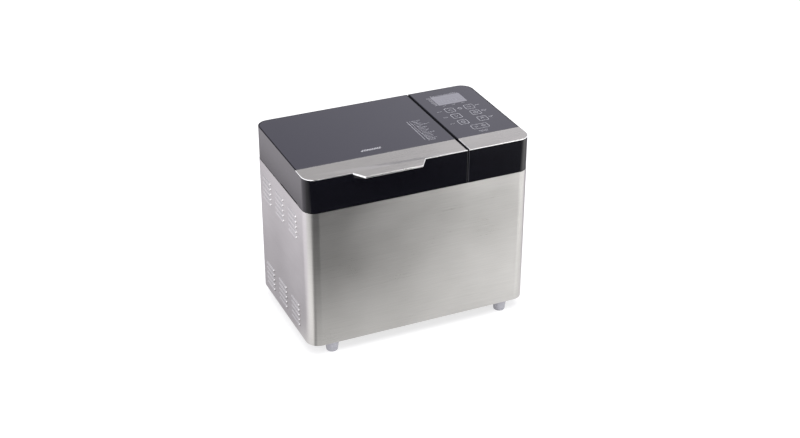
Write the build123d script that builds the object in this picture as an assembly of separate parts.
from build123d import *
import os
from math import asin, atan2, cos, hypot, pi, sin

# A domestic bread machine, in millimetres. +X runs to the right along the front face, +Y to the back,
# +Z up. The origin is on the surface it stands on, at the middle of the overall footprint.
# A louvred steel sleeve on four feet carries a black band: a hinged lid over the oven on the left, and
# a fixed control pod over the motor and the electronics on the right.

# ---------------------------------------------------------------- driving dimensions
body_width = 360.0
body_depth = 218.0
foot_height = 18.0
sleeve_height = 224.0
band_height = 54.0
corner_radius = 20.0
lip_reach = 18.0          # how far the lid's finger lip stands out of the front face
seam_x = 74.4             # middle of the gap between the lid and the control pod
seam_gap = 1.6
lid_gap = 0.8             # between the sleeve's top edge and the lid's skirt
band_inset = 0.4          # the band stands this far inside the sleeve's faces

sheet = 0.8               # steel sheet
wall = 2.6                # moulded walls
glass_thickness = 4.0
trim_thickness = 1.5
trim_depth = 40.8         # the steel strips, from the front edge backwards
glass_rim = 1.2           # moulding that shows round each glass panel

# ---------------------------------------------------------------- planes that follow from them
left, right = -body_width / 2, body_width / 2
front = -(body_depth + lip_reach) / 2 + lip_reach
back = front + body_depth
mid_y = (front + back) / 2
body_z = foot_height
deck_z = body_z + sleeve_height
top_z = deck_z + band_height

band_left, band_right = left + band_inset, right - band_inset
band_front, band_back = front + band_inset, back - band_inset
band_radius = corner_radius - band_inset
seam_radius = 1.0
lid_right = seam_x - seam_gap / 2
pod_left = seam_x + seam_gap / 2
lid_z = deck_z + lid_gap
glass_z = top_z - glass_thickness
trim_z = top_z - trim_thickness
trim_back = front + trim_depth
rim_z = top_z - 0.5

# ---------------------------------------------------------------- oven, pan and drive
oven_x = (band_left + lid_right) / 2
oven_y = mid_y
chamber_length, chamber_depth, chamber_corner = 212.0, 172.0, 25.0
chamber_floor = 80.0
chamber_flange = 12.0
deck_plate = 2.5
deck_top = deck_z - 0.5
deck_under = deck_top - deck_plate

pan_length, pan_depth, pan_corner = 186.0, 132.0, 22.0
pan_under = 104.0
pan_rim = 222.0
pan_taper = 3.0           # degrees of draft on each side
pan_sheet = 1.8
ring_radius = 48.0

bail_pivot_z = 215.0
bail_reach = 56.0
bail_half_length = 100.0
bail_wire = 2.2
bail_rest = 12.0          # degrees above level when it lies folded

shaft_radius = 4.0
running = 0.05            # radial clearance of a shaft that turns in a bush
coupler_z = 86.0

hinge_radius = 8.0
hinge_y = band_back - hinge_radius
hinge_z = lid_z + hinge_radius
hinge_posts = (oven_x - 87.0, oven_x + 87.0)
post_width = 10.0
pin_radius = 2.0

frame_under = lid_z + 2.7
frame_top = frame_under + 2.0
liner_ceiling = 281.0
dome_length, dome_depth, dome_corner = 213.0, 171.0, 26.0
dome_sheet, dome_taper = 0.6, 6.0

chassis_z = 60.0
chassis_sheet = 1.5
belt_z = 31.0
belt_width = 9.0
belt_pitch = 3.0
large_teeth, small_teeth = 90, 15
motor_x, motor_y = 122.0, 40.0
motor_half = 31.0
stack_z, stack_height = 80.0, 34.0

louvre_length = 37.0
louvre_pitch_y, louvre_pitch_z = 55.0, 8.6
louvre_columns, louvre_rows = 3, 5
louvre_blocks = (deck_z - 59.0, body_z + 14.0)   # lowest edge of the upper and the lower block
louvre_sink, louvre_radius = 2.4, 4.2

key_pitch = 23.1
key_columns = (pod_left + 34.6, pod_left + 67.6)
key_row = mid_y + 27.4
start_key = (pod_left + 51.2, mid_y - 42.0)
screen_size = (49.0, 33.5)
screen_at = (pod_left + 50.8, mid_y + 65.8)

foot_x = 141.5
foot_setback = 12.0
foot_radius, foot_tip_radius = 11.0, 8.7
gland_at = (134.0, 46.0)  # x and z of the hole where a mains cord would enter
gland_bore = 3.6


# ---------------------------------------------------------------- small helpers
def block(x0, x1, y0, y1, z0, z1):
    """A box between two corners."""
    return Pos((x0 + x1) / 2, (y0 + y1) / 2, (z0 + z1) / 2) * Box(x1 - x0, y1 - y0, z1 - z0)


def rounded(x, y, length, depth, radius, z0, z1, taper=0):
    """An upright slab with rounded corners; a taper in degrees narrows it upwards."""
    outline = Pos(x, y, z0) * RectangleRounded(length, depth, radius)
    return extrude(outline, z1 - z0, taper=taper)


def outline(x0, x1, y0, y1, radius_left, radius_right):
    """A face between two corners, rounded differently at its left and its right end."""
    face = Pos((x0 + x1) / 2, (y0 + y1) / 2) * Rectangle(x1 - x0, y1 - y0)
    face = fillet(face.vertices().sort_by(Axis.X)[:2], radius_left)
    return fillet(face.vertices().sort_by(Axis.X)[-2:], radius_right)


def slab(face, z0, z1):
    """A flat face raised between two heights."""
    return extrude(Pos(0, 0, z0) * face, z1 - z0)


def rod(x, y, z0, z1, radius):
    """An upright round bar."""
    return Pos(x, y, (z0 + z1) / 2) * Cylinder(radius, z1 - z0)


def tube(x, y, z0, z1, outer, inner):
    """An upright round tube."""
    return rod(x, y, z0, z1, outer) - rod(x, y, z0 - 1, z1 + 1, inner)


def bar_x(x0, x1, y, z, radius):
    """A round bar that lies along X."""
    return Pos((x0 + x1) / 2, y, z) * Rot(0, 90, 0) * Cylinder(radius, x1 - x0)


def bar_y(x, y0, y1, z, radius):
    """A round bar that lies along Y."""
    return Pos(x, (y0 + y1) / 2, z) * Rot(90, 0, 0) * Cylinder(radius, y1 - y0)


def screw(kind, recess=True):
    """A screw that points down, with the top of its head at the origin."""
    head_radius, head_height, shank_radius, length, countersunk = kind
    head = Pos(0, 0, -head_height / 2) * Cylinder(head_radius, head_height)
    if countersunk:
        head = Pos(0, 0, -head_height / 2) * Cone(shank_radius, head_radius, head_height)
    body = head + Pos(0, 0, -length / 2) * Cylinder(shank_radius, length)
    if not recess:
        return body
    slot = Box(head_radius * 1.1, head_radius * 0.28, head_height * 0.9)
    return body - slot - Rot(0, 0, 90) * slot


def screws(kind, places):
    """One node's screws."""
    return group([place * screw(kind) for place in places])


def without_screws(shape, kind, places):
    """A piece with the holes that its screws go through."""
    return shape.cut(*[place * screw(kind, recess=False) for place in places])


def group(solids):
    """Separate solids that share one node."""
    return Compound(children=[s for shape in solids for s in shape.solids()])


def wire_along(points, radius, bend):
    """An insulated lead of round section along straight runs joined by arcs."""
    path = FilletPolyline(*points, radius=bend)
    return sweep(Plane(path @ 0, z_dir=path % 0) * Circle(radius), path=path)


# ---------------------------------------------------------------- screw places
foot_places = [(sx * foot_x, y) for sx in (-1, 1) for y in (front + foot_setback, back - foot_setback)]
rear_opening = 296.0
case_places = [(sx * (rear_opening / 2 + 5), z) for sx in (-1, 1) for z in (48.0, 132.0, 222.0)]
deck_places = [(oven_x + sx * 114, mid_y + dy) for sx in (-1, 1) for dy in (-60, 0, 60)]
lid_places = [(oven_x + sx * 118.5, y) for sx in (-1, 1) for y in (front + 12, mid_y + 28, back - 22)]
chassis_posts = [(-156.0, -66.0), (-156.0, 84.0), (30.0, -84.0), (24.0, 102.0), (162.0, -66.0), (164.0, 92.0)]
spacer_places = [(oven_x + sx * 84, oven_y + sy * 62) for sx in (-1, 1) for sy in (-1, 1)]
clip_places = [(oven_x + sx * 58, oven_y + sy * 75.0) for sx in (-1, 1) for sy in (-1, 1)]
pad_places = [(x, key_row - i * key_pitch) for x in key_columns for i in range(3)]
pad_places += [(start_key[0] + d, start_key[1]) for d in (-6.0, 6.0)]
board_screw_places = [(pod_left + x, y) for x in (10.0, 94.0) for y in (mid_y - 80, mid_y + 84)]


# Each kind of screw is its head's radius and height, its shank's radius, its length, and if it is countersunk.
foot_screw = (3.2, 2.4, 1.8, 24, False)
case_screw = (3.2, 1.4, 1.4, 8, True)
deck_screw = (3.4, 1.8, 1.5, 9, False)
lid_screw = (3.2, 1.6, 1.5, 10, False)
foot_screw_places = [Pos(x, y, 4.0) * Rot(180, 0, 0) for x, y in foot_places]
case_screw_places = [Pos(x, back, z) * Rot(-90, 0, 0) for x, z in case_places]
deck_screw_places = [Pos(x, y, deck_top + deck_screw[1]) for x, y in deck_places]
lid_screw_places = [Pos(x, y, frame_under - lid_screw[1]) * Rot(180, 0, 0) for x, y in lid_places]


# ---------------------------------------------------------------- body shell
def louvre(radius):
    """A long bead with ball ends along Y, cut off level below: the outside or the inside of one louvre."""
    straight = louvre_length - 2 * radius
    bead = Rot(90, 0, 0) * Cylinder(radius, straight)
    bead += Pos(0, straight / 2, 0) * Sphere(radius)
    bead += Pos(0, -straight / 2, 0) * Sphere(radius)
    return bead & block(-radius - 1, -louvre_sink + sheet / 2, -louvre_length, louvre_length, 0, radius + 1)


def louvre_places():
    for lowest in louvre_blocks:
        for row in range(louvre_rows):
            for column in range(louvre_columns):
                yield mid_y + 6.5 + (column - 1) * louvre_pitch_y, lowest + row * louvre_pitch_z


def outer_sleeve():
    """The brushed sheet that wraps the front, both sides and the rear corners."""
    shell = rounded(0, mid_y, body_width, body_depth, corner_radius, body_z, deck_z)
    inside = rounded(0, mid_y, body_width - 2 * sheet, body_depth - 2 * sheet, corner_radius - sheet,
                     body_z - 1, deck_z + 1)
    shell -= inside
    shell -= block(-rear_opening / 2, rear_opening / 2, back - 5, back + 1, body_z - 1, deck_z + 1)
    outside, void = louvre(louvre_radius), louvre(louvre_radius - sheet)
    turns = (Pos(left + louvre_sink, 0, 0), Pos(right - louvre_sink, 0, 0) * Rot(0, 0, 180))
    hoods, voids = [], []
    for turn in turns:
        for y, z in louvre_places():
            place = Pos(0, y, z) * turn
            hoods.append(place * outside)
            voids.append(place * void)
            voids.append(place * block(-louvre_sink - 0.1, 1, 4 - louvre_length / 2, louvre_length / 2 - 4, 0, 2.4))
    shell = shell.fuse(*hoods).cut(*voids)
    return without_screws(shell, case_screw, case_screw_places)


def rear_panel():
    """The flat steel back, behind the sleeve's turned-in edges."""
    half = rear_opening / 2 + 11
    y0 = back - 2 * sheet
    panel = block(-half, half, y0, back - sheet, body_z + 4, deck_z - 3)
    slots = [block(x - 1.6, x + 1.6, y0 - 1, back, z, z + 26)
             for z in (60.0, 196.0) for x in [c * 9.0 + 60 for c in range(9)]]
    slots += [block(x - 1.6, x + 1.6, y0 - 1, back, 36.0, 58.0) for x in [c * 9.0 - 120 for c in range(9)]]
    panel = panel.cut(*slots)
    panel -= bar_y(gland_at[0], y0 - 1, back, gland_at[1], 8.0)
    return without_screws(panel, case_screw, case_screw_places)


def base_tray():
    """The moulded floor, with a low rim inside the sleeve, air slots and posts for the chassis."""
    gap = 0.4
    length, depth = body_width - 2 * (sheet + gap), body_depth - 2 * (sheet + gap) - sheet
    y, z0, z1 = mid_y - sheet / 2, body_z + 0.5, body_z + 22
    radius = corner_radius - sheet - gap
    tray = rounded(0, y, length, depth, radius, z0, z1)
    tray -= rounded(0, y, length - 2 * wall, depth - 2 * wall, radius - wall, z0 + 3, z1 + 1)
    tray += group([rod(x, py, z0 + 1, chassis_z, 5.5) for x, py in chassis_posts])
    tray += group([rod(x, fy, z0 + 1, z0 + 9, 6.0) for x, fy in foot_places])
    slots = [block(x - 2, x + 2, y0, y0 + 40, z0 - 1, z0 + 4)
             for y0 in (-78.0, 70.0) for x in [c * 10.0 - 100 for c in range(11)]]
    slots += [block(x - 2, x + 2, 10, 66, z0 - 1, z0 + 4) for x in [c * 10.0 + 92 for c in range(7)]]
    tray = tray.cut(*slots)
    tray -= block(gland_at[0] - 12, gland_at[0] + 12, back - 8, back, z0 + 10, z1 + 1)
    return without_screws(tray, foot_screw, foot_screw_places)


def foot(x, y):
    """A grey foot that narrows downwards, with its screw sunk in the middle."""
    body = Pos(x, y, (foot_height + 0.5) / 2) * Cone(foot_tip_radius, foot_radius, foot_height + 0.5)
    body = fillet(body.edges().sort_by(Axis.Z)[0], 1.4)
    body -= rod(x, y, -1, 4.0, 3.3)
    return without_screws(body, foot_screw, foot_screw_places)


# ---------------------------------------------------------------- deck and control pod
def chamber_outline(grow, z0, z1):
    return rounded(oven_x, oven_y, chamber_length + 2 * grow, chamber_depth + 2 * grow,
                   chamber_corner + grow, z0, z1)


def deck_frame():
    """The black deck that closes the body, with a raised rim round the oven's mouth and hinge posts."""
    gap = 0.3
    length, depth = body_width - 2 * (sheet + gap), body_depth - 2 * (2 * sheet + gap)
    deck = rounded(0, mid_y, length, depth, corner_radius - 2 * sheet - gap, deck_under, deck_top)
    deck += chamber_outline(4.5, deck_top - 1, deck_top + 2.5)
    deck -= chamber_outline(0, deck_under - 1, deck_top + 4)
    deck -= rounded((pod_left + right) / 2 + 2, mid_y, 70, 150, 10, deck_under - 1, deck_top + 1)
    for x in hinge_posts:
        half = post_width / 2
        post = block(x - half, x + half, hinge_y - 4.5, hinge_y + 4.5, deck_top - 1, hinge_z)
        post += bar_x(x - half, x + half, hinge_y, hinge_z, 5.0)
        deck += post - bar_x(x - half - 1, x + half + 1, hinge_y, hinge_z, pin_radius + running)
    return without_screws(deck, deck_screw, deck_screw_places)


def band_shell(x0, x1, radius_left, radius_right, z0):
    """A moulded cap over part of the band, with a shoulder for the steel strip and a seat for the glass."""
    full = outline(x0, x1, band_front, band_back, radius_left, radius_right)
    shell = slab(full, z0, rim_z)
    inner_left, inner_right = max(radius_left - wall, 0.6), max(radius_right - wall, 0.6)
    hollow = outline(x0 + wall, x1 - wall, band_front + wall, band_back - wall, inner_left, inner_right)
    shell -= slab(hollow, z0 - 1, glass_z - wall)
    shell -= block(x0 - 1, x1 + 1, band_front - 1, trim_back, trim_z, top_z)
    return shell - panel_seat(x0, x1, radius_left, radius_right, 0)


def panel_seat(x0, x1, radius_left, radius_right, gap):
    """The space of a glass panel, or the panel itself when the gap is more than nothing."""
    inset = glass_rim + gap
    radius_a, radius_b = max(radius_left - inset, 0.6), max(radius_right - inset, 0.6)
    face = outline(x0 + inset, x1 - inset, band_front - 40, band_back - inset, radius_a, radius_b)
    seat = slab(face, glass_z, top_z + (0 if gap else 1))
    return seat - block(x0 - 1, x1 + 1, band_front - 60, trim_back + gap, glass_z - 1, top_z + 2)


def glass_panel(x0, x1, radius_left, radius_right):
    """A tinted panel with a small chamfer all round its top."""
    panel = panel_seat(x0, x1, radius_left, radius_right, 0.15)
    return chamfer(panel.faces().sort_by(Axis.Z)[-1].edges(), 0.5)


def trim_strip(x0, x1, radius_left, radius_right):
    """The brushed strip along the front of the top."""
    full = outline(x0, x1, band_front, band_back, radius_left, radius_right)
    strip = slab(full, trim_z, top_z)
    return strip - block(x0 - 1, x1 + 1, trim_back, band_back + 1, trim_z - 1, top_z + 1)


def control_housing():
    """The fixed black pod to the right of the lid."""
    shell = band_shell(pod_left, band_right, seam_radius, band_radius, deck_z)
    x, y = screen_at
    shell -= block(x - 25, x + 25, y - 17.5, y + 17.5, glass_z - wall - 1, glass_z + 1)
    shell = shell.cut(*[rod(px, py, glass_z - wall - 1, glass_z + 1, 5.0) for px, py in pad_places])
    posts = [rod(px, py, board_z + 1.6, glass_z - wall + 1, 3.0) for px, py in board_screw_places]
    return shell + group(posts)


board_z = 281.0


def lcd_module():
    x, y = screen_at
    body = block(x - 28, x + 28, y - 20, y + 20, board_z + 1.6, glass_z - wall)
    window = block(x - screen_size[0] / 2, x + screen_size[0] / 2, y - screen_size[1] / 2,
                   y + screen_size[1] / 2, glass_z - wall - 1, glass_z)
    return body + window


def control_board():
    return block(pod_left + 6, pod_left + 98, mid_y - 86, mid_y + 90, board_z, board_z + 1.6)


def touch_pads():
    """Conductive foam pillars that join each printed key to the board."""
    return group([rod(x, y, board_z + 1.6, glass_z, 4.0) for x, y in pad_places])


# ---------------------------------------------------------------- lid
lip_x = oven_x + 1.5
lip_root, lip_tip = 56.5, 44.3
relief = (front + 38.0, mid_y - 4.0)   # where the skirt's left edge is cut back


def lip_face(shrink, reach):
    """The finger lip's outline in plan, from the band's front face."""
    points = [(lip_x - lip_root + shrink, band_front + 3), (lip_x - lip_root + shrink, band_front),
              (lip_x - lip_tip + shrink, band_front - reach), (lip_x + lip_tip - shrink, band_front - reach),
              (lip_x + lip_root - shrink, band_front), (lip_x + lip_root - shrink, band_front + 3)]
    return make_face(Polyline(*points, close=True))


def barrel_cut(radius):
    """What a lower rear edge loses so that it rolls about the hinge line."""
    corner = block(band_left - 2, lid_right + 2, hinge_y, band_back + 2, lid_z - 2, hinge_z)
    return corner - bar_x(band_left - 3, lid_right + 3, hinge_y, hinge_z, radius)


def lid_shell():
    """The lid's black cap: skirt, top plate, finger lip's backing and a rolled rear edge."""
    shell = band_shell(band_left, lid_right, band_radius, seam_radius, lid_z)
    hollow = outline(band_left + wall, lid_right - wall, band_front + wall, band_back - wall,
                     band_radius - wall, 0.6)
    shell += slab(hollow, lid_z, hinge_z) & block(band_left, lid_right, hinge_y, band_back, lid_z, hinge_z)
    shell -= barrel_cut(hinge_radius)
    shell -= bar_x(band_left + band_radius + wall, lid_right - wall, hinge_y, hinge_z, hinge_radius - wall)
    for x in hinge_posts:
        half = post_width / 2 + 0.8
        shell -= block(x - half - 5.5, x + half + 5.5, hinge_y - 10, hinge_y + 5.2, lid_z - 1, hinge_z + 5.2)
        shell -= block(x - half, x + half, hinge_y - 10, band_back + 1, lid_z - 1, hinge_z + 6)
    backing = slab(lip_face(1.6, lip_reach - 1.4), trim_z - 7.0, trim_z)
    slope = Plane((0, band_front, trim_z - 7.0), z_dir=(0, -4.0, -lip_reach))
    backing = split(backing, bisect_by=slope, keep=Keep.BOTTOM)
    shell += backing
    shell -= block(left, band_left + wall + 0.1, relief[0], relief[1], lid_z - 1, lid_z + 1.4)
    vents = [block(x - 7, x + 7, band_back - wall - 1, band_back + 1, 278, 281)
             for x in [oven_x + (i - 3) * 20 for i in range(7)]]
    bosses = [rod(x, y, frame_top, glass_z - wall + 1, 3.6) for x, y in lid_places]
    shell = (shell + group(bosses)).cut(*vents)
    return without_screws(shell, lid_screw, lid_screw_places)


def lid_trim():
    """The strip over the lid, drawn out into the finger lip, with its lip edges turned down."""
    strip = trim_strip(band_left, lid_right, band_radius, seam_radius)
    lip = slab(lip_face(0, lip_reach + band_inset), trim_z - 1.4, top_z)
    lip -= slab(lip_face(1.3, lip_reach + band_inset - 1.2), trim_z - 2, trim_z)
    lip -= block(left, right, band_front, band_front + 4, trim_z - 2, trim_z)
    return strip + lip


def lid_inner_frame():
    """The heat-proof ring that closes the lid from below and carries the hinge ears."""
    gap = 0.3
    face = outline(band_left + wall + gap, lid_right - wall - gap, band_front + wall + gap,
                   hinge_y - 5.8, band_radius - wall - gap, 0.8)
    ring = slab(face, frame_under, frame_top)
    ring -= rounded(oven_x, oven_y, dome_length + 2, dome_depth + 2, dome_corner + 1, frame_under - 1,
                    frame_top + 1)
    for x in hinge_posts:
        half = post_width / 2 + 0.5
        for x0, x1 in ((x - half - 4.5, x - half), (x + half, x + half + 4.5)):
            ear = bar_x(x0, x1, hinge_y, hinge_z, 4.8)
            ear += block(x0, x1, hinge_y - 8.2, hinge_y, frame_under, hinge_z + 4.8)
            ring += ear - bar_x(x0 - 1, x1 + 1, hinge_y, hinge_z, pin_radius)
        ring -= block(x - half, x + half, hinge_y - 7.5, hinge_y + 1, frame_under - 1, frame_top + 1)
    return without_screws(ring, lid_screw, lid_screw_places)


def lid_liner():
    """The bright pressed dome that is the oven's ceiling."""
    skin = 2 * dome_sheet
    outer = rounded(oven_x, oven_y, dome_length, dome_depth, dome_corner, frame_under, liner_ceiling + dome_sheet,
                    taper=dome_taper)
    inner = rounded(oven_x, oven_y, dome_length - skin, dome_depth - skin, dome_corner - dome_sheet,
                    frame_under - 0.1, liner_ceiling, taper=dome_taper)
    flange = rounded(oven_x, oven_y, dome_length + 8, dome_depth + 8, dome_corner + 4, frame_top,
                     frame_top + dome_sheet)
    dome = outer + flange - inner
    holes = [rod(oven_x + (i - 3) * 14, oven_y + 62, liner_ceiling - 1, liner_ceiling + 2, 2.2)
             for i in range(7)]
    return dome.cut(*holes)


def lid_hinge_pins():
    reach = post_width / 2 + 5.0
    return group([bar_x(x - reach, x + reach, hinge_y, hinge_z, pin_radius) for x in hinge_posts])


def lid_bumpers():
    """Silicone buttons that land on the deck."""
    places = [(oven_x + sx * 96, front + 9.5) for sx in (-1, 1)]
    return group([rod(x, y, deck_top + 0.2, frame_under, 4.0) for x, y in places])


# ---------------------------------------------------------------- oven
terminal_y = 20.0
element_z = 102.0
element_radius = 3.3
sensor_at = (oven_y + 52, 150.0)


def oven_chamber():
    """The drawn steel oven, flanged under the deck."""
    shell = chamber_outline(0, chamber_floor - sheet, deck_under)
    cavity = chamber_outline(-sheet, chamber_floor, deck_under + 1)
    flange = chamber_outline(chamber_flange, deck_under - sheet, deck_under)
    shell = shell + flange - cavity
    shell -= rod(oven_x, oven_y, chamber_floor - 2, chamber_floor + 1, 14.0)
    wall_x = oven_x + chamber_length / 2
    for sy in (-1, 1):
        shell -= bar_x(wall_x - 2, wall_x + 2, oven_y + sy * terminal_y, element_z, 6.0)
    shell -= bar_x(wall_x - 2, wall_x + 2, sensor_at[0], sensor_at[1], 3.0)
    return without_screws(shell, deck_screw, deck_screw_places)


def element_path():
    """One loop round the pan, open at the right, where both ends leave through the wall."""
    x0, x1 = oven_x - 99, oven_x + 99
    y0, y1 = oven_y - 75, oven_y + 75
    low, high = oven_y - terminal_y, oven_y + terminal_y
    points = [(x1 + 26, low, element_z), (x1, low, element_z), (x1, y0, element_z), (x0, y0, element_z),
              (x0, y1, element_z), (x1, y1, element_z), (x1, high, element_z), (x1 + 26, high, element_z)]
    return FilletPolyline(*points, radius=[6, 26, 34, 34, 26, 6])


def heating_element():
    """The tubular heater with its two terminal pins."""
    path = element_path()
    loop = sweep(Plane(path @ 0, z_dir=path % 0) * Circle(element_radius), path=path)
    end_x = oven_x + 99 + 26
    pins = [bar_x(end_x, end_x + 9, oven_y + sy * terminal_y, element_z, 1.6) for sy in (-1, 1)]
    return loop + pins[0] + pins[1]


def element_clips():
    """Spring straps that hold the heater clear of the floor."""
    clips = []
    for x, y in clip_places:
        ring = bar_x(x - 4, x + 4, y, element_z, element_radius + 0.8)
        ring -= bar_x(x - 5, x + 5, y, element_z, element_radius)
        leg = block(x - 4, x + 4, y - 0.6, y + 0.6, chamber_floor, element_z - element_radius - 0.4)
        pad = block(x - 4, x + 4, y - 5, y + 5, chamber_floor, chamber_floor + 0.8)
        clips.append(ring + leg + pad)
    return group(clips)


def element_insulators():
    """Ceramic bushes where the heater's ends pass through the oven's wall."""
    wall_x = oven_x + chamber_length / 2
    bushes = []
    for sy in (-1, 1):
        y = oven_y + sy * terminal_y
        bush = bar_x(wall_x - sheet, wall_x + 5, y, element_z, 6.0)
        bush += bar_x(wall_x, wall_x + 2.5, y, element_z, 8.0)
        bushes.append(bush - bar_x(wall_x - 3, wall_x + 8, y, element_z, element_radius))
    return group(bushes)


def temperature_sensor():
    """A steel probe through the oven's right wall, with a moulded plug outside."""
    wall_x = oven_x + chamber_length / 2
    y, z = sensor_at
    probe = bar_x(wall_x - 7, wall_x + 6, y, z, 2.6)
    return probe + bar_x(wall_x, wall_x + 1.2, y, z, 6.5) + bar_x(wall_x + 1.2, wall_x + 9, y, z, 4.5)


def thermal_fuse():
    wall_x = oven_x + chamber_length / 2
    body = Pos(wall_x + 3.2, oven_y - 50, 170) * Cylinder(2.2, 16)
    strap = block(wall_x, wall_x + 5.6, oven_y - 53.5, oven_y - 46.5, 167.5, 172.5)
    return body + strap


def heat_shield():
    """A steel sheet between the oven and the electronics, with two windows for the heater's ends."""
    x = oven_x + chamber_length / 2 + 12
    plate = block(x, x + 0.8, front + 8, back - 12, chassis_z + chassis_sheet, 236)
    for y, z, r in ((oven_y - terminal_y, element_z, 9), (oven_y + terminal_y, element_z, 9)):
        plate -= bar_x(x - 1, x + 2, y, z, r)
    return plate


def chamber_spacers():
    z0 = chassis_z + chassis_sheet
    return group([tube(x, y, z0, chamber_floor - sheet, 5.0, 2.0) for x, y in spacer_places])


def pan_clips():
    """Four leaf springs on the oven's floor that grip the pan's base ring."""
    clips = []
    for turn in range(4):
        base = block(ring_radius + 0.4, ring_radius + 15, -9, 9, 0, 0.9)
        leaf = block(ring_radius + 0.4, ring_radius + 1.4, -9, 9, 0, 15)
        lead = Pos(ring_radius + 2.4, 0, 16.4) * Rot(0, 30, 0) * Box(1.0, 18, 6)
        lead &= block(ring_radius + 0.4, ring_radius + 9, -9, 9, 12, 30)
        clips.append(Pos(oven_x, oven_y, chamber_floor) * Rot(0, 0, 45 + 90 * turn) * (base + leaf + lead))
    return group(clips)


# ---------------------------------------------------------------- bread pan
def pan_body(inset, z0, z1):
    """The pan's tapered form, measured in from its outside; it narrows downwards."""
    drop = pan_rim - z0
    length = pan_length - 2 * inset
    depth = pan_depth - 2 * inset
    form = extrude(Pos(oven_x, oven_y, pan_rim) * RectangleRounded(length, depth, pan_corner - inset),
                   -drop, taper=pan_taper)
    return form & block(left, right, front, back, z0, z1)


def bread_pan():
    """The coated pan: tapered walls, a rolled rim, pivot lugs and a hole for the shaft's bearing."""
    outer = pan_body(0, pan_under, pan_rim)
    outer = fillet(outer.faces().sort_by(Axis.Z)[0].edges(), 7)
    inner = pan_body(pan_sheet, pan_under + 2, pan_rim + 1)
    inner = fillet(inner.faces().sort_by(Axis.Z)[0].edges(), 6)
    pan = outer + rounded(oven_x, oven_y, pan_length + 6, pan_depth + 6, pan_corner + 3, pan_rim - 1.8, pan_rim)
    pan -= inner
    edge = pan_length / 2
    for turn in (0, 180):
        side = Pos(oven_x, oven_y, 0) * Rot(0, 0, turn)
        lug = side * block(edge - 3, edge + 2, -7, 7, bail_pivot_z - 6, pan_rim - 1)
        pan += lug - pan_body(pan_sheet, pan_under, pan_rim)
        pan -= side * bar_x(edge - 1, edge + 4, 0, bail_pivot_z, bail_wire + 0.15)
    return pan - rod(oven_x, oven_y, pan_under - 1, pan_under + 3, 8.0)


def pan_base_ring():
    """The skirt under the pan that stands on the oven's floor between the clips."""
    ring = tube(oven_x, oven_y, chamber_floor + 0.3, pan_under, ring_radius, ring_radius - 1.6)
    foot_ring = tube(oven_x, oven_y, pan_under - 1.6, pan_under, ring_radius, 24.0)
    return ring + foot_ring


def pan_bearing():
    """The bush and seal in the pan's floor."""
    bush = rod(oven_x, oven_y, pan_under - 4.5, pan_under + 5, 8.0)
    bush += rod(oven_x, oven_y, pan_under - 1.6, pan_under, 23.9)
    return bush - rod(oven_x, oven_y, pan_under - 6, pan_under + 8, shaft_radius + running)


flat_at = 3.0             # the paddle shaft's flat, from its axis


def paddle_shaft():
    """The pan's own shaft, with a flat that drives the paddle."""
    shaft = rod(oven_x, oven_y, coupler_z + 7, pan_under + 36, shaft_radius)
    shaft = chamfer(shaft.edges().sort_by(Axis.Z)[-1], 0.8)
    flat = block(oven_x - 6, oven_x + 6, oven_y + flat_at, oven_y + 8, pan_under + 6, pan_under + 40)
    return shaft - flat


def pan_coupler():
    """The wing under the pan that drops between the driver's two dogs."""
    wing = block(oven_x - 10, oven_x + 10, oven_y - 2.5, oven_y + 2.5, coupler_z + 7, coupler_z + 12)
    wing += rod(oven_x, oven_y, coupler_z + 7, coupler_z + 13, 6.5)
    return wing - rod(oven_x, oven_y, coupler_z + 6, coupler_z + 14, shaft_radius)


def kneading_paddle():
    """The cast paddle: a hub on the shaft and one swept blade."""
    low = pan_under + 7.5
    hub = Pos(oven_x, oven_y, low + 13) * Cone(9.5, 7.5, 26)
    points = [(3, 0), (44, 0), (46, 5), (40, 20), (26, 30), (3, 25)]
    side = make_face(Polyline(*points, close=True))
    side = fillet(side.vertices().sort_by(Axis.X)[2:], 3)
    blade = extrude(Plane.XZ * side, 2.6, both=True)
    blade = Pos(oven_x, oven_y, low) * Rot(0, 0, 25) * blade
    tail = Pos(oven_x, oven_y, low) * Rot(0, 0, 205) * block(3, 20, -2.6, 2.6, 0, 12)
    paddle = hub + blade + tail
    bore = rod(oven_x, oven_y, low - 1, low + 40, shaft_radius + 0.1)
    bore -= block(oven_x - 6, oven_x + 6, oven_y + flat_at + 0.1, oven_y + 8, low - 2, low + 42)
    return paddle - bore


def pan_handle():
    """The wire bail, lying towards the front just above the rim."""
    y, z = oven_y, bail_pivot_z
    inner, outer = pan_length / 2 - 0.6, bail_half_length
    points = [(-inner, 0, 0), (-outer, 0, 0), (-outer, -bail_reach, 0), (outer, -bail_reach, 0),
              (outer, 0, 0), (inner, 0, 0)]
    path = FilletPolyline(*points, radius=[4.5, 14, 14, 4.5])
    bail = sweep(Plane(path @ 0, z_dir=path % 0) * Circle(bail_wire), path=path)
    return Pos(oven_x, y, z) * Rot(-bail_rest, 0, 0) * bail


# ---------------------------------------------------------------- drive
def pitch_radius(teeth):
    return teeth * belt_pitch / (2 * pi)


def pulley_face(teeth):
    """A toothed belt pulley in plan."""
    tip = pitch_radius(teeth) - 0.38
    face = Circle(tip)
    step = 360 / teeth
    notches = [Rot(0, 0, i * step) * Pos(tip, 0) * Circle(0.85) for i in range(teeth)]
    return face - notches


def large_pulley():
    z0, z1 = belt_z, belt_z + belt_width + 3
    rim = extrude(Pos(0, 0, z0) * pulley_face(large_teeth), z1 - z0)
    rim -= rod(0, 0, z0 + 3, z1 + 1, pitch_radius(large_teeth) - 5) - rod(0, 0, z0, z1 + 2, 11)
    rim = rim.cut(*[rod(26 * cos(pi * i / 3), 26 * sin(pi * i / 3), z0 - 1, z0 + 4, 8) for i in range(6)])
    return Pos(oven_x, oven_y, 0) * (rim - rod(0, 0, z0 - 1, z1 + 1, shaft_radius))


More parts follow.
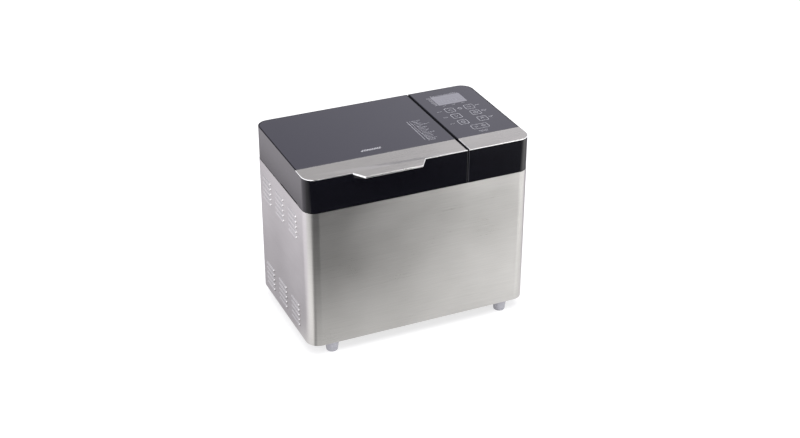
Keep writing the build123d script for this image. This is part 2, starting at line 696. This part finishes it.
def motor_pulley():
    z0, z1 = belt_z, belt_z + belt_width + 3
    core = extrude(Pos(0, 0, z0) * pulley_face(small_teeth), z1 - z0)
    core += rod(0, 0, z0, z0 + 1.2, pitch_radius(small_teeth) + 2.4)
    core += rod(0, 0, z1 - 1.2, z1, pitch_radius(small_teeth) + 2.4)
    return Pos(motor_x, motor_y, 0) * (core - rod(0, 0, z0 - 1, z1 + 1, 3.0))


def belt_face(extra):
    """The belt's outline round both pulleys, from the circles' outer tangents."""
    big, small = pitch_radius(large_teeth) + extra, pitch_radius(small_teeth) + extra
    dx, dy = motor_x - oven_x, motor_y - oven_y
    span = hypot(dx, dy)
    lean = asin((big - small) / span)
    turn = Pos(oven_x, oven_y) * Rot(0, 0, atan2(dy, dx) * 180 / pi)
    up = [(big * sin(lean), big * cos(lean)), (span + small * sin(lean), small * cos(lean))]
    middle = make_face(Polyline(up[0], up[1], (up[1][0], -up[1][1]), (up[0][0], -up[0][1]), close=True))
    return turn * (Circle(big) + Pos(span, 0) * Circle(small) + middle)


def drive_belt():
    loop = belt_face(1.4) - belt_face(-0.1)
    return slab(loop, belt_z + 1.5, belt_z + 1.5 + belt_width)


def drive_shaft():
    return rod(oven_x, oven_y, belt_z - 3, coupler_z + 5, shaft_radius)


def drive_coupler():
    """The oven's driver: a disc with two upright dogs."""
    low = coupler_z
    body = rod(0, 0, low, low + 4.5, 13)
    ring = tube(0, 0, low + 4, low + 12, 13, 7.4)
    dogs = ring & (Rot(0, 0, 90) * block(-14, 14, -4.2, 4.2, low, low + 13))
    return Pos(oven_x, oven_y, 0) * (body + dogs - rod(0, 0, low - 1, low + 5.0, shaft_radius))


def shaft_circlips():
    clips = []
    for z in (belt_z - 2.2, belt_z + belt_width + 3.4):
        ring = tube(oven_x, oven_y, z, z + 1.0, shaft_radius + 2.2, shaft_radius)
        clips.append(ring - block(oven_x + 2, oven_x + 9, oven_y - 1.6, oven_y + 1.6, z - 1, z + 2))
    return group(clips)


def bearing_housing():
    """The cast carrier that holds both shaft bushes and passes through the oven's floor."""
    z0 = chassis_z + chassis_sheet
    body = rod(oven_x, oven_y, 48, chamber_floor + 4, 12)
    body += rod(oven_x, oven_y, z0, z0 + 4, 30)
    body -= rod(oven_x, oven_y, 40, chamber_floor + 6, 6.5)
    holes = [rod(oven_x + sx * 22, oven_y, z0 - 1, z0 + 5, 2.2) for sx in (-1, 1)]
    return body.cut(*holes)


def shaft_bushes():
    spans = ((48, 60), (chamber_floor - 8, chamber_floor + 4))
    return group([tube(oven_x, oven_y, a, b, 6.5, shaft_radius + running) for a, b in spans])


def chassis_plate():
    """The steel plate that carries the oven, the drive and the motor."""
    z0, z1 = chassis_z, chassis_z + chassis_sheet
    plate = rounded(0, mid_y - 1, body_width - 14, body_depth - 18, 12, z0, z1)
    plate -= rod(oven_x, oven_y, z0 - 1, z1 + 1, 12.2)
    plate -= rod(motor_x, motor_y, z0 - 1, z1 + 1, 14)
    windows = [rounded(oven_x + sx * 62, oven_y, 50, 100, 10, z0 - 1, z1 + 1) for sx in (-1, 1)]
    plate = plate.cut(*windows)
    plate += block(84, 164, board_y - 4.5, board_y - 3, z0, 200)
    standoffs = [bar_y(x, board_y - 3.5, board_y, z, 3) for x in (88, 160) for z in (104, 194)]
    return plate.fuse(*standoffs)


def motor_stator():
    """The laminated stack."""
    stack = rounded(motor_x, motor_y, 2 * motor_half, 2 * motor_half, 4, stack_z, stack_z + stack_height)
    stack -= rod(motor_x, motor_y, stack_z - 1, stack_z + stack_height + 1, 17.5)
    corners = [rod(motor_x + sx * 25.5, motor_y + sy * 25.5, stack_z - 1, stack_z + stack_height + 1, 2.2)
               for sx in (-1, 1) for sy in (-1, 1)]
    return stack.cut(*corners)


def motor_windings():
    """The wound ends above and below the stack."""
    rings = []
    for z0, z1 in ((stack_z - 9, stack_z), (stack_z + stack_height, stack_z + stack_height + 9)):
        ring = tube(motor_x, motor_y, z0, z1, 26, 18)
        rings.append(fillet(ring.edges().filter_by(GeomType.CIRCLE), 2))
    return group(rings)


def motor_end_caps():
    """The two brackets that hold the motor's bearings and bolt it to the chassis."""
    caps = []
    spans = ((chassis_z + chassis_sheet, stack_z), (stack_z + stack_height, stack_z + stack_height + 14))
    for low, high in spans:
        lower = low < stack_z
        plate_z = low if lower else high - 3
        cap = rounded(motor_x, motor_y, 62, 62, 6, plate_z, plate_z + 3)
        for sx in (-1, 1):
            for sy in (-1, 1):
                cap += rod(motor_x + sx * 25.5, motor_y + sy * 25.5, low, high, 4.5)
        cap += rod(motor_x, motor_y, plate_z, plate_z + 5 if lower else plate_z + 3, 8)
        caps.append(cap - rod(motor_x, motor_y, low - 1, high + 1, 3.0 + running))
    return group(caps)


def motor_rotor():
    """The motor's shaft with the rotor core on it."""
    shaft = rod(motor_x, motor_y, belt_z - 1, stack_z + stack_height + 26, 3.0)
    return shaft + rod(motor_x, motor_y, stack_z + 1, stack_z + stack_height - 1, 17.0)


def motor_fan():
    """The cooling fan on top of the motor's shaft."""
    z0 = stack_z + stack_height + 16
    hub = rod(0, 0, z0, z0 + 9, 7)
    blades = [Rot(0, 0, 60 * i) * Pos(17, 0, z0 + 4.5) * Rot(32, 0, 0) * Box(22, 12, 1.2) for i in range(6)]
    fan = hub
    for blade in blades:
        fan += blade
    fan &= rod(0, 0, z0, z0 + 9, 28)
    return Pos(motor_x, motor_y, 0) * (fan - rod(0, 0, z0 - 1, z0 + 12, 3.0))


def motor_capacitor():
    body = rod(150, -30, chassis_z + chassis_sheet, chassis_z + 42, 14)
    body = fillet(body.edges().sort_by(Axis.Z)[-1], 2)
    tabs = [block(150 + s * 5 - 0.4, 150 + s * 5 + 0.4, -33, -27, chassis_z + 41, chassis_z + 49) for s in (-1, 1)]
    return body + tabs[0] + tabs[1]


board_y = front + 14.0


def power_board():
    """The mains board, upright behind the front face."""
    return block(82, 166, board_y, board_y + 1.6, 96, 206)


def board_components():
    """The transformer, the relay, the heat sink and the connectors on the mains board."""
    y = board_y + 1.6
    parts = [block(90, 122, y, y + 26, 104, 132), block(128, 147, y, y + 15, 106, 134),
             block(90, 98, y, y + 22, 142, 190), block(110, 150, y, y + 9, 192, 202)]
    parts += [Pos(x, y + 6, 160) * Rot(90, 0, 0) * Cylinder(5, 12) for x in (112, 126, 140)]
    return group(parts)


def cord_gland():
    """The round grommet in the back where a mains cord would enter."""
    x, z = gland_at
    body = bar_y(x, back - 12, back, z, 7.9)
    body += bar_y(x, back - 4.6, back - 2 * sheet, z, 11)
    body += bar_y(x, back - sheet, back, z, 9.2)
    return body - bar_y(x, back - 13, back + 1, z, gland_bore)


def wiring():
    """Leads inside the body: heater, motor and the control pod's harness."""
    pin_x = oven_x + 99 + 35
    y = board_y + 9.0
    leads = []
    for sy, x_end in ((-1, 116), (1, 124)):
        start_y = oven_y + sy * terminal_y
        points = [(pin_x, start_y, element_z), (pin_x + 5, start_y, element_z), (pin_x + 5, -30 - 3 * sy, 146),
                  (x_end, -46, 178), (x_end, -62, 197), (x_end, board_y + 10.6, 197)]
        leads.append(wire_along(points, 1.5, 4))
    harness = [(136, y, 202), (136, y, 222), (136, -30, 232), (130, -6, 262), (130, -6, board_z)]
    leads.append(wire_along(harness, 2.4, 9))
    return group(leads)


# ---------------------------------------------------------------- nodes
feet = dict(zip(("foot_front_left", "foot_rear_left", "foot_front_right", "foot_rear_right"), foot_places))
makers = [outer_sleeve, rear_panel, base_tray, deck_frame, control_housing, lcd_module, control_board,
          touch_pads, lid_shell, lid_trim, lid_inner_frame, lid_liner, lid_hinge_pins, lid_bumpers,
          oven_chamber, heating_element, element_clips, element_insulators, temperature_sensor,
          thermal_fuse, heat_shield, chamber_spacers, pan_clips, bread_pan, pan_base_ring, pan_bearing,
          paddle_shaft, pan_coupler, kneading_paddle, pan_handle, large_pulley, motor_pulley, drive_belt,
          drive_shaft, drive_coupler, shaft_circlips, bearing_housing, shaft_bushes, chassis_plate,
          motor_stator, motor_windings, motor_end_caps, motor_rotor, motor_fan, motor_capacitor,
          power_board, board_components, cord_gland, wiring]


def build():
    nodes = {make.__name__: make() for make in makers}
    nodes["lid_glass"] = glass_panel(band_left, lid_right, band_radius, seam_radius)
    nodes["control_glass"] = glass_panel(pod_left, band_right, seam_radius, band_radius)
    nodes["control_trim"] = trim_strip(pod_left, band_right, seam_radius, band_radius)
    nodes["foot_screws"] = screws(foot_screw, foot_screw_places)
    nodes["case_screws"] = screws(case_screw, case_screw_places)
    nodes["deck_screws"] = screws(deck_screw, deck_screw_places)
    nodes["lid_screws"] = screws(lid_screw, lid_screw_places)
    for name, (x, y) in feet.items():
        nodes[name] = foot(x, y)
    return nodes


os.makedirs("parts", exist_ok=True)
for name, shape in build().items():
    export_step(shape, f"parts/{name}.step")
    print(name, round(shape.volume), "mm3")
